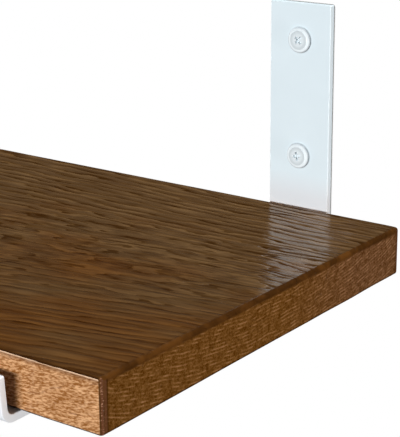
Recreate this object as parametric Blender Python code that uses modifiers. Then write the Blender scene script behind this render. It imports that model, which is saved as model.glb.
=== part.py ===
# Bracket wall shelf: a stained oak board on two bent flat-steel brackets, screwed to a wall.
# Sizes are in metres. +X runs along the shelf, +Y goes into the wall and +Z is up.
# The origin lies on the wall's face, midway along the shelf and level with the board's top.

import math

import bmesh
import bpy
from mathutils import Matrix

for leftover in list(bpy.data.objects):
    bpy.data.objects.remove(leftover)

# Gap left between pieces that touch on the real shelf
SEAT_GAP = 0.0003
WELD_DISTANCE = 0.00001
FLAT_ANGLE = math.radians(1.0)  # faces that meet flatter than this become one

# Oak board
BOARD_LENGTH = 0.600
BOARD_DEPTH = 0.195
BOARD_THICKNESS = 0.021
END_EASING = 0.0017  # rounding at the two ends and the upright corners
LONG_EASING = 0.0010  # rounding along the front and back
EASING_STEPS = 3

# Steel brackets, each one flat bar bent twice
BRACKET_INSET = 0.052  # from an end of the board to the middle of its bracket
BAR_WIDTH = 0.030
BAR_THICKNESS = 0.003
BAR_CORNER_RADIUS = 0.0006  # at the corners of the bar's two cut ends
BAR_EDGE_EASING = 0.0004
BAR_EDGE_STEPS = 2
BAR_EDGE_ANGLE = math.radians(50.0)  # edges sharper than this are eased, the facets of a bend are not
BEND_INSIDE_RADIUS = 0.003
BEND_STEPS = 8
PLATE_RISE = 0.0895  # the plate's top above the board's top
LIP_RISE = 0.0147  # the lip's top above the board's underside
LIP_GAP = 0.0051  # between the board's front edge and the foot of the lip
LIP_LEAN = math.radians(4.0)  # how far the lip opens away from the board

# Wall screws, two through each plate
LOWER_WALL_SCREW_HEIGHT = 0.0227  # above the board's top
WALL_SCREW_SPACING = 0.051
WALL_SCREW_HEAD_DIAMETER = 0.011
WALL_SCREW_HEAD_HEIGHT = 0.0014
WALL_SCREW_SHOULDER = 0.0016  # the rounding between the head's flat crown and its rim
WALL_SCREW_SHANK_DIAMETER = 0.005
WALL_SCREW_LENGTH = 0.045
WALL_SCREW_CROSS_SPAN = 0.0052
WALL_SCREW_CROSS_WIDTH = 0.0011
WALL_SCREW_CROSS_DEPTH = 0.0010

# Board screws, two up through each arm
BACK_BOARD_SCREW_REACH = 0.055  # from the wall
BOARD_SCREW_SPACING = 0.100
BOARD_SCREW_HEAD_DIAMETER = 0.008
BOARD_SCREW_HEAD_HEIGHT = 0.0022
BOARD_SCREW_SHOULDER = 0.0011
BOARD_SCREW_SHANK_DIAMETER = 0.004
BOARD_SCREW_LENGTH = 0.016
BOARD_SCREW_CROSS_SPAN = 0.0042
BOARD_SCREW_CROSS_WIDTH = 0.0009
BOARD_SCREW_CROSS_DEPTH = 0.0014
PILOT_EXTRA_DEPTH = 0.0005

# Shapes that both kinds of screw share
SCREW_TURN_STEP = math.radians(34.0)  # each screw was driven home to another angle
CROSS_TIP_SHARE = 0.75  # the recess wings' width at their tips, as a share of that at the middle
SCREW_POINT_LENGTH = 0.005
SCREW_RIM_HEIGHT = 0.0005  # the upright edge under the shoulder
SHOULDER_STEPS = 4
SCREW_SIDES = 24
HOLE_CLEARANCE = 0.0005  # round a screw in the steel
HOLE_SIDES = 24
HOLE_PAD = 0.004  # from a hole's rim to the strip's next cross edge, so each cut stays in its own face

# Nylon wall plugs
PLUG_DIAMETER = 0.008
PLUG_COLLAR_DIAMETER = 0.0094
PLUG_COLLAR_THICKNESS = 0.001
PLUG_LENGTH = 0.040
PLUG_RIB_COUNT = 5
PLUG_RIB_DEPTH = 0.0005
PLUG_NOSE_LENGTH = 0.006
PLUG_NOSE_WALL = 0.0006
PLUG_SLOT_WIDTH = 0.0012
PLUG_SLOT_LENGTH = 0.026
PLUG_SIDES = 20

# Places that follow from the sizes above
BOARD_BACK_GAP = max(SEAT_GAP, BEND_INSIDE_RADIUS - LONG_EASING)  # the board stops at the bend
BOARD_BACK = -BAR_THICKNESS - BOARD_BACK_GAP
BOARD_FRONT = BOARD_BACK - BOARD_DEPTH
ARM_TOP = -BOARD_THICKNESS - SEAT_GAP
LIP_FACE = BOARD_FRONT - LIP_GAP
BOARD_SCREW_SEAT = ARM_TOP - BAR_THICKNESS - SEAT_GAP
PLUG_BORE_RADIUS = WALL_SCREW_SHANK_DIAMETER / 2 + SEAT_GAP
BRACKET_X = BOARD_LENGTH / 2 - BRACKET_INSET
WALL_SCREW_HEIGHTS = {
    "lower": LOWER_WALL_SCREW_HEIGHT,
    "upper": LOWER_WALL_SCREW_HEIGHT + WALL_SCREW_SPACING,
}
BOARD_SCREW_REACHES = {
    "back": BACK_BOARD_SCREW_REACH,
    "front": BACK_BOARD_SCREW_REACH + BOARD_SCREW_SPACING,
}
SIDES = {"left": -1, "right": 1}
FACING_ROOM = math.pi / 2  # turn about X that points a screw's head out of the wall
FACING_DOWN = math.pi  # turn about X that points a screw's head at the floor


def new_collection(name):
    collection = bpy.data.collections.new(name)
    bpy.context.scene.collection.children.link(collection)
    return collection


def new_material(name, colour, roughness, metallic):
    material = bpy.data.materials.new(name)
    material.use_nodes = True
    shader = material.node_tree.nodes["Principled BSDF"]
    shader.inputs["Base Color"].default_value = (*colour, 1.0)
    shader.inputs["Roughness"].default_value = roughness
    shader.inputs["Metallic"].default_value = metallic
    return material


def mesh_from(bm, name):
    mesh = bpy.data.meshes.new(name)
    bm.to_mesh(mesh)
    bm.free()
    return mesh


def add_piece(name, mesh, material):
    piece = bpy.data.objects.new(name, mesh)
    shelf_pieces.objects.link(piece)
    piece.parent = shelf
    if not mesh.materials:
        mesh.materials.append(material)
    return piece


def add_cutter(name, mesh, carrier):
    cutter = bpy.data.objects.new(name, mesh)
    cutters.objects.link(cutter)
    cutter.parent = carrier
    cutter.hide_render = True
    cutter.display_type = "WIRE"
    return cutter


def cut(piece, cutter):
    boolean = piece.modifiers.new(cutter.name, "BOOLEAN")
    boolean.operation = "DIFFERENCE"
    boolean.solver = "EXACT"
    boolean.object = cutter


def turn_profile(piece, sides):
    # Turns a profile of edges about the piece's own Z axis.
    lathe = piece.modifiers.new("turned", "SCREW")
    lathe.axis = "Z"
    lathe.steps = sides
    lathe.render_steps = sides
    lathe.use_merge_vertices = True
    lathe.merge_threshold = WELD_DISTANCE


def profile_mesh(name, points, closed):
    # Joins (radius, height) points with edges, ready to be turned.
    bm = bmesh.new()
    corners = [bm.verts.new((radius, 0.0, height)) for radius, height in points]
    for first, second in zip(corners, corners[1:]):
        bm.edges.new((first, second))
    if closed:
        bm.edges.new((corners[-1], corners[0]))
    return mesh_from(bm, name)


def add_cylinder(bm, radius, length, place):
    bmesh.ops.create_cone(
        bm,
        cap_ends=True,
        segments=HOLE_SIDES,
        radius1=radius,
        radius2=radius,
        depth=length,
        matrix=place,
    )


def board_mesh():
    # A box whose edges carry the weight of their rounding.
    bm = bmesh.new()
    bmesh.ops.create_cube(bm, size=1.0)
    bmesh.ops.scale(bm, vec=(BOARD_LENGTH, BOARD_DEPTH, BOARD_THICKNESS), verts=bm.verts)
    weight = bm.edges.layers.float.new("bevel_weight_edge")
    for edge in bm.edges:
        start, end = edge.verts
        along_board = abs(start.co.x - end.co.x) > BOARD_LENGTH / 2
        easing = LONG_EASING if along_board else END_EASING
        edge[weight] = easing / max(LONG_EASING, END_EASING)
    return mesh_from(bm, "shelf_board")


def pilot_hole_mesh():
    # Blind holes for the board screws, in the shelf's own frame.
    radius = BOARD_SCREW_SHANK_DIAMETER / 2 + SEAT_GAP
    hole_top = BOARD_SCREW_SEAT + BOARD_SCREW_LENGTH + PILOT_EXTRA_DEPTH
    hole_bottom = -BOARD_THICKNESS - LONG_EASING
    middle = (hole_top + hole_bottom) / 2
    bm = bmesh.new()
    for side in SIDES.values():
        for reach in BOARD_SCREW_REACHES.values():
            place = Matrix.Translation((side * BRACKET_X, -reach, middle))
            add_cylinder(bm, radius, hole_top - hole_bottom, place)
    return mesh_from(bm, "pilot_holes")


def add_board(material):
    board = add_piece("shelf_board", board_mesh(), material)
    board.location = (0.0, BOARD_BACK - BOARD_DEPTH / 2, -BOARD_THICKNESS / 2)
    easing = board.modifiers.new("eased_edges", "BEVEL")
    easing.limit_method = "WEIGHT"
    easing.width = max(LONG_EASING, END_EASING)
    easing.segments = EASING_STEPS
    cut(board, add_cutter("pilot_holes", pilot_hole_mesh(), shelf))


def bend_points(centre_y, centre_z, first_angle, last_angle):
    # Points along the bar's middle line round one bend.
    radius = BEND_INSIDE_RADIUS + BAR_THICKNESS / 2
    points = []
    for step in range(BEND_STEPS + 1):
        angle = first_angle + (last_angle - first_angle) * step / BEND_STEPS
        points.append((centre_y + radius * math.cos(angle), centre_z + radius * math.sin(angle)))
    return points


def bar_path():
    # The bar's middle line as (y, z) points, from the plate's top down, forward and up the lip.
    plate_y = -BAR_THICKNESS / 2
    arm_z = ARM_TOP - BAR_THICKNESS / 2
    bend_z = ARM_TOP + BEND_INSIDE_RADIUS
    wall_pad = WALL_SCREW_SHANK_DIAMETER / 2 + HOLE_CLEARANCE + HOLE_PAD
    board_pad = BOARD_SCREW_SHANK_DIAMETER / 2 + HOLE_CLEARANCE + HOLE_PAD
    path = [(plate_y, PLATE_RISE)]
    for height in sorted(WALL_SCREW_HEIGHTS.values(), reverse=True):
        path.append((plate_y, height + wall_pad))
        path.append((plate_y, height - wall_pad))
    path += bend_points(-BAR_THICKNESS - BEND_INSIDE_RADIUS, bend_z, 0.0, -math.pi / 2)
    for reach in sorted(BOARD_SCREW_REACHES.values()):
        path.append((-reach + board_pad, arm_z))
        path.append((-reach - board_pad, arm_z))
    path += bend_points(LIP_FACE + BEND_INSIDE_RADIUS, bend_z, -math.pi / 2, -math.pi + LIP_LEAN)
    foot_y, foot_z = path[-1]
    lip_top = -BOARD_THICKNESS + LIP_RISE
    path.append((foot_y - (lip_top - foot_z) * math.tan(LIP_LEAN), lip_top))
    return path


def bar_mesh():
    # A strip along the bar's middle line, as wide as the bar, with rounded corners at its ends.
    bm = bmesh.new()
    line = [bm.verts.new((-BAR_WIDTH / 2, y, z)) for y, z in bar_path()]
    for first, second in zip(line, line[1:]):
        bm.edges.new((first, second))
    swept = bmesh.ops.extrude_edge_only(bm, edges=bm.edges)
    far_side = [part for part in swept["geom"] if isinstance(part, bmesh.types.BMVert)]
    bmesh.ops.translate(bm, vec=(BAR_WIDTH, 0.0, 0.0), verts=far_side)
    end_corners = [vert for vert in bm.verts if len(vert.link_faces) == 1]
    bmesh.ops.bevel(
        bm,
        geom=end_corners,
        offset=BAR_CORNER_RADIUS,
        segments=EASING_STEPS,
        profile=0.5,
        affect="VERTICES",
    )
    return mesh_from(bm, "bent_bar")


def bracket_hole_mesh():
    # Screw holes through the plate and the arm, in the bracket's own frame.
    bm = bmesh.new()
    length = 4 * BAR_THICKNESS
    lying = Matrix.Rotation(FACING_ROOM, 4, "X")
    for height in WALL_SCREW_HEIGHTS.values():
        place = Matrix.Translation((0.0, -BAR_THICKNESS / 2, height)) @ lying
        add_cylinder(bm, WALL_SCREW_SHANK_DIAMETER / 2 + HOLE_CLEARANCE, length, place)
    for reach in BOARD_SCREW_REACHES.values():
        place = Matrix.Translation((0.0, -reach, ARM_TOP - BAR_THICKNESS / 2))
        add_cylinder(bm, BOARD_SCREW_SHANK_DIAMETER / 2 + HOLE_CLEARANCE, length, place)
    return mesh_from(bm, "bracket_holes")


def add_brackets(material):
    bar = bar_mesh()
    holes = bracket_hole_mesh()
    for side_name, side in SIDES.items():
        bracket = add_piece(f"bracket_{side_name}", bar, material)
        bracket.location.x = side * BRACKET_X
        steel = bracket.modifiers.new("steel_thickness", "SOLIDIFY")
        steel.thickness = BAR_THICKNESS
        steel.offset = 0.0
        steel.use_even_offset = True
        edges = bracket.modifiers.new("eased_edges", "BEVEL")
        edges.width = BAR_EDGE_EASING
        edges.segments = BAR_EDGE_STEPS
        edges.limit_method = "ANGLE"
        edges.angle_limit = BAR_EDGE_ANGLE
        cut(bracket, add_cutter(f"holes_bracket_{side_name}", holes, bracket))


def flat_solid_mesh(name, outline, thickness):
    # A flat outline drawn as a curve, given its thickness and turned into a closed mesh.
    curve = bpy.data.curves.new(name, "CURVE")
    curve.dimensions = "2D"
    curve.fill_mode = "BOTH"
    curve.extrude = thickness / 2
    spline = curve.splines.new("POLY")
    spline.points.add(len(outline) - 1)
    for point, (x, y) in zip(spline.points, outline):
        point.co = (x, y, 0.0, 1.0)
    spline.use_cyclic_u = True
    drawing = bpy.data.objects.new(name, curve)
    cutters.objects.link(drawing)
    graph = bpy.context.evaluated_depsgraph_get()
    mesh = bpy.data.meshes.new_from_object(drawing.evaluated_get(graph))
    bpy.data.objects.remove(drawing)
    bpy.data.curves.remove(curve)
    bm = bmesh.new()
    bm.from_mesh(mesh)
    bmesh.ops.remove_doubles(bm, verts=bm.verts, dist=WELD_DISTANCE)
    bmesh.ops.dissolve_limit(bm, angle_limit=FLAT_ANGLE, verts=bm.verts, edges=bm.edges)
    bm.to_mesh(mesh)
    bm.free()
    return mesh


def cross_mesh(name, span, width, depth):
    # A plus-shaped block, centred on the top of a screw's head, that cuts the driver recess.
    x_reach = span / 2
    half = width / 2
    tip = half * CROSS_TIP_SHARE
    corners = [(x_reach, -tip), (x_reach, tip), (half, half)]
    outline = []
    for _ in range(4):
        outline += corners
        corners = [(-y, x) for x, y in corners]
    return flat_solid_mesh(name, outline, 2 * depth)


def screw_mesh(name, head_diameter, head_height, shoulder, shank_diameter, length):
    # Half outline of a pan-head screw: crown, rounded shoulder, rim, the flat underneath, shank and point.
    head_radius = head_diameter / 2
    crown_radius = head_radius - shoulder
    shank_radius = shank_diameter / 2
    shoulder_height = head_height - SCREW_RIM_HEIGHT
    points = [(0.0, head_height)]
    for step in range(SHOULDER_STEPS + 1):
        angle = math.pi / 2 * step / SHOULDER_STEPS
        radius = crown_radius + shoulder * math.sin(angle)
        points.append((radius, SCREW_RIM_HEIGHT + shoulder_height * math.cos(angle)))
    points += [
        (head_radius, 0.0),
        (shank_radius, 0.0),
        (shank_radius, SCREW_POINT_LENGTH - length),
        (0.0, -length),
    ]
    return profile_mesh(name, points, closed=False)


def add_screw(name, outline, cross, head_height, material, seat, facing, turn):
    # Seats one screw with its head's underside at the given place.
    screw = add_piece(name, outline, material)
    aim = Matrix.Rotation(facing, 4, "X") @ Matrix.Rotation(turn, 4, "Z")
    screw.matrix_basis = Matrix.Translation(seat) @ aim
    turn_profile(screw, SCREW_SIDES)
    recess = add_cutter(f"recess_{name}", cross, screw)
    recess.location.z = head_height
    cut(screw, recess)


def add_wall_screws(material):
    outline = screw_mesh(
        "wall_screw",
        WALL_SCREW_HEAD_DIAMETER,
        WALL_SCREW_HEAD_HEIGHT,
        WALL_SCREW_SHOULDER,
        WALL_SCREW_SHANK_DIAMETER,
        WALL_SCREW_LENGTH,
    )
    cross = cross_mesh(
        "wall_screw_cross", WALL_SCREW_CROSS_SPAN, WALL_SCREW_CROSS_WIDTH, WALL_SCREW_CROSS_DEPTH
    )
    turn = 0.0
    for side_name, side in SIDES.items():
        for level, height in WALL_SCREW_HEIGHTS.items():
            turn += SCREW_TURN_STEP
            add_screw(
                f"wall_screw_{side_name}_{level}",
                outline,
                cross,
                WALL_SCREW_HEAD_HEIGHT,
                material,
                (side * BRACKET_X, -BAR_THICKNESS - SEAT_GAP, height),
                FACING_ROOM,
                turn,
            )


def add_board_screws(material):
    outline = screw_mesh(
        "board_screw",
        BOARD_SCREW_HEAD_DIAMETER,
        BOARD_SCREW_HEAD_HEIGHT,
        BOARD_SCREW_SHOULDER,
        BOARD_SCREW_SHANK_DIAMETER,
        BOARD_SCREW_LENGTH,
    )
    cross = cross_mesh(
        "board_screw_cross", BOARD_SCREW_CROSS_SPAN, BOARD_SCREW_CROSS_WIDTH, BOARD_SCREW_CROSS_DEPTH
    )
    turn = 0.0
    for side_name, side in SIDES.items():
        for row, reach in BOARD_SCREW_REACHES.items():
            turn += SCREW_TURN_STEP
            add_screw(
                f"board_screw_{side_name}_{row}",
                outline,
                cross,
                BOARD_SCREW_HEAD_HEIGHT,
                material,
                (side * BRACKET_X, -reach, BOARD_SCREW_SEAT),
                FACING_DOWN,
                turn,
            )


def plug_mesh():
    # Closed half outline of a plug: collar, sawtooth ribs and nose outside, straight bore inside.
    body = PLUG_DIAMETER / 2
    valley = body - PLUG_RIB_DEPTH
    rib_start = -PLUG_COLLAR_THICKNESS
    rib_pitch = (PLUG_LENGTH - PLUG_COLLAR_THICKNESS - PLUG_NOSE_LENGTH) / PLUG_RIB_COUNT
    points = [(PLUG_COLLAR_DIAMETER / 2, 0.0), (PLUG_COLLAR_DIAMETER / 2, rib_start)]
    for rib in range(PLUG_RIB_COUNT):
        points.append((body, rib_start - rib * rib_pitch))
        points.append((valley, rib_start - (rib + 1) * rib_pitch))
    points += [
        (PLUG_BORE_RADIUS + PLUG_NOSE_WALL, -PLUG_LENGTH),
        (PLUG_BORE_RADIUS, -PLUG_LENGTH),
        (PLUG_BORE_RADIUS, 0.0),
    ]
    return profile_mesh("wall_plug", points, closed=True)


def plug_slot_mesh():
    # A thin slab that splits the plug's far end into two jaws.
    bm = bmesh.new()
    bmesh.ops.create_cube(bm, size=1.0)
    size = (PLUG_SLOT_WIDTH, 2 * PLUG_COLLAR_DIAMETER, 2 * PLUG_SLOT_LENGTH)
    bmesh.ops.scale(bm, vec=size, verts=bm.verts)
    return mesh_from(bm, "plug_slot")


def add_wall_plugs(material):
    outline = plug_mesh()
    slab = plug_slot_mesh()
    for side_name, side in SIDES.items():
        for level, height in WALL_SCREW_HEIGHTS.items():
            name = f"wall_plug_{side_name}_{level}"
            plug = add_piece(name, outline, material)
            plug.location = (side * BRACKET_X, SEAT_GAP, height)
            plug.rotation_euler.x = FACING_ROOM
            turn_profile(plug, PLUG_SIDES)
            slot = add_cutter(f"slot_{name}", slab, plug)
            slot.location.z = -PLUG_LENGTH
            cut(plug, slot)


shelf_pieces = new_collection("bracket_wall_shelf")
cutters = new_collection("cutters")
shelf = bpy.data.objects.new("shelf_on_wall", None)
shelf_pieces.objects.link(shelf)

oak = new_material("stained_oak", (0.258, 0.136, 0.051), 0.42, 0.0)
white_coat = new_material("white_powder_coat", (0.80, 0.84, 0.86), 0.38, 0.0)
white_screw = new_material("white_painted_screw", (0.78, 0.81, 0.83), 0.33, 0.0)
zinc = new_material("zinc_plated_screw", (0.62, 0.62, 0.60), 0.30, 1.0)
nylon = new_material("grey_nylon", (0.33, 0.34, 0.35), 0.55, 0.0)

add_board(oak)
add_brackets(white_coat)
add_wall_screws(white_screw)
add_board_screws(zinc)
add_wall_plugs(nylon)
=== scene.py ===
# Bracket wall shelf: a stained oak board on two bent flat-steel brackets, screwed to a wall.
# Metres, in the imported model's frame: +X along the shelf, +Y into the wall, +Z up.

import math

import bmesh
import bpy
from mathutils import Euler, Matrix, Vector, noise


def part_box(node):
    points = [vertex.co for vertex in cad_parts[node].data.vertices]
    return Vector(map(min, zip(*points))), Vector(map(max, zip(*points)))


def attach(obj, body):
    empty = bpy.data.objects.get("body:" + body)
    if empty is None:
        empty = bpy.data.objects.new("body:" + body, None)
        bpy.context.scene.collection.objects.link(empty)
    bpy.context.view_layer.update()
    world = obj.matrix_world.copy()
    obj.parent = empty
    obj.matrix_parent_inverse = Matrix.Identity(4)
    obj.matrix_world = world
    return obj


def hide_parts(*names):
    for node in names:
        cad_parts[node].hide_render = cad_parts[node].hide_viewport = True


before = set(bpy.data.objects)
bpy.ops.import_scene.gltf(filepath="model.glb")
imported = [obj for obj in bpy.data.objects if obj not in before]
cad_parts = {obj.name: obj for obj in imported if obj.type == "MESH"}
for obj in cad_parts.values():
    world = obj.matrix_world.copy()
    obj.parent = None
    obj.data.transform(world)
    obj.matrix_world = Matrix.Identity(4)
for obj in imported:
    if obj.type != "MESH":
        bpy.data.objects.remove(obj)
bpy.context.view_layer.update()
print("frame loaded,", len(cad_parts), "nodes")

sides = ("left", "right")
levels = ("lower", "upper")
rows = ("back", "front")
weldDistance = 1e-6
drillSides = 40
tableNodes = {  # words of a table that aren't plain maths: their node, and the setting that takes the word
    "LINEAR": ("ShaderNodeMapRange", "interpolation_type"),
    "SMOOTHSTEP": ("ShaderNodeMapRange", "interpolation_type"),
    "COMBINE": ("ShaderNodeCombineXYZ", None),
    "LENGTH": ("ShaderNodeVectorMath", "operation"),
}


def toLinear(hexColour):  # sRGB hex to the linear RGBA that a socket takes
    channels = [int(hexColour[i:i + 2], 16) / 255 for i in (0, 2, 4)]
    return tuple(c / 12.92 if c <= 0.04045 else ((c + 0.055) / 1.055) ** 2.4 for c in channels) + (1.0,)


def addNode(tree, kind, settings=None, links=None):  # a source is a node, a socket or a value, a list is several
    node = tree.nodes.new(kind)
    for name, value in (settings or {}).items():
        setattr(node, name, value)
    for socket, sources in (links or {}).items():
        for source in sources if isinstance(sources, list) else [sources]:
            if isinstance(source, bpy.types.Node):
                source = next(output for output in source.outputs if output.enabled)
            if isinstance(source, bpy.types.NodeSocket):
                tree.links.new(source, node.inputs[socket])
            else:
                node.inputs[socket].default_value = source
    return node


def addLayers(tree, layers, table):  # a row: the new layer's name, what it does, then layers or numbers
    for name, word, *sources in table:
        kind, setting = tableNodes.get(word, ("ShaderNodeMath", "operation"))
        layers[name] = addNode(tree, kind, {setting: word} if setting else {}, {
            socket: layers.get(source, source) for socket, source in enumerate(sources)})


def emptyMaterial(name):
    material = bpy.data.materials.new(name)
    material.use_nodes = True
    material.node_tree.nodes.clear()
    return material, material.node_tree


def geometryTree(name, inputs, floats):  # a tree with named inputs, and their sockets by name
    tree = bpy.data.node_groups.new(name, "GeometryNodeTree")
    kinds = {"Geometry": "Geometry", **inputs, **dict.fromkeys(floats, "Float")}
    for label, kind in kinds.items():
        tree.interface.new_socket(label, in_out="INPUT", socket_type="NodeSocket" + kind)
    tree.interface.new_socket("Geometry", in_out="OUTPUT", socket_type="NodeSocketGeometry")
    return tree, {socket.name: socket for socket in addNode(tree, "NodeGroupInput").outputs}


def finishTree(tree, given, shape):
    real = addNode(tree, "GeometryNodeRealizeInstances", {}, {0: shape})
    finished = addNode(tree, "GeometryNodeSetMaterial", {}, {0: real, "Material": given["Finish"]})
    addNode(tree, "NodeGroupOutput", {}, {0: finished})


def addObject(name, bm):
    mesh = bpy.data.meshes.new(name)
    bm.to_mesh(mesh)
    bm.free()
    made = bpy.data.objects.new(name, mesh)
    bpy.context.scene.collection.objects.link(made)
    return made


def settle(piece):  # keeps the mesh that the live modifiers make, and drops them
    graph = bpy.context.evaluated_depsgraph_get()
    mesh = bpy.data.meshes.new_from_object(piece.evaluated_get(graph), depsgraph=graph)
    piece.modifiers.clear()
    piece.data = mesh


def runTree(piece, tree, values):  # an input called Bar Width takes the value called barWidth
    modifier = piece.modifiers.new(tree.name, "NODES")
    modifier.node_group = tree
    for item in tree.interface.items_tree:
        key = item.name[0].lower() + item.name[1:].replace(" ", "")
        if item.in_out == "INPUT" and key in values:
            modifier[item.identifier] = values[key]
    settle(piece)


def faceOutwards(piece):
    bm = bmesh.new()
    bm.from_mesh(piece.data)
    bmesh.ops.remove_doubles(bm, verts=bm.verts, dist=weldDistance)
    bmesh.ops.recalc_face_normals(bm, faces=bm.faces)
    bm.to_mesh(piece.data)
    bm.free()


def smoothUpTo(piece, degrees, keepFlats=False):  # rounds shade smooth, edges sharper than this stay crisp
    piece.data.polygons.foreach_set("use_smooth", [True] * len(piece.data.polygons))
    piece.data.set_sharp_from_angle(angle=math.radians(degrees))
    if keepFlats:
        piece.modifiers.new("flat faces stay flat", "WEIGHTED_NORMAL").keep_sharp = True
        settle(piece)


def drillHoles(piece, holes):  # holes: (centre, axis, diameter, length)
    bm = bmesh.new()
    for centre, axis, diameter, length in holes:
        place = Matrix.Translation(centre) @ Vector(axis).to_track_quat("Z", "Y").to_matrix().to_4x4()
        bmesh.ops.create_cone(
            bm, cap_ends=True, segments=drillSides, radius1=diameter / 2, radius2=diameter / 2, depth=length,
            matrix=place)
    drill = addObject("drill", bm)
    cut = piece.modifiers.new("drilled", "BOOLEAN")
    cut.operation, cut.solver, cut.object = "DIFFERENCE", "EXACT", drill
    settle(piece)
    bpy.data.objects.remove(drill)


def boxMiddle(node):
    low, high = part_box(node)
    return (low + high) / 2


def hangOnWall(piece, nodes):  # the shelf is one body, so every piece rides on it
    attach(piece, "root")
    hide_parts(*nodes)
    print(piece.name, "stands for", len(nodes), "nodes,", len(piece.data.polygons), "faces")


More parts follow.
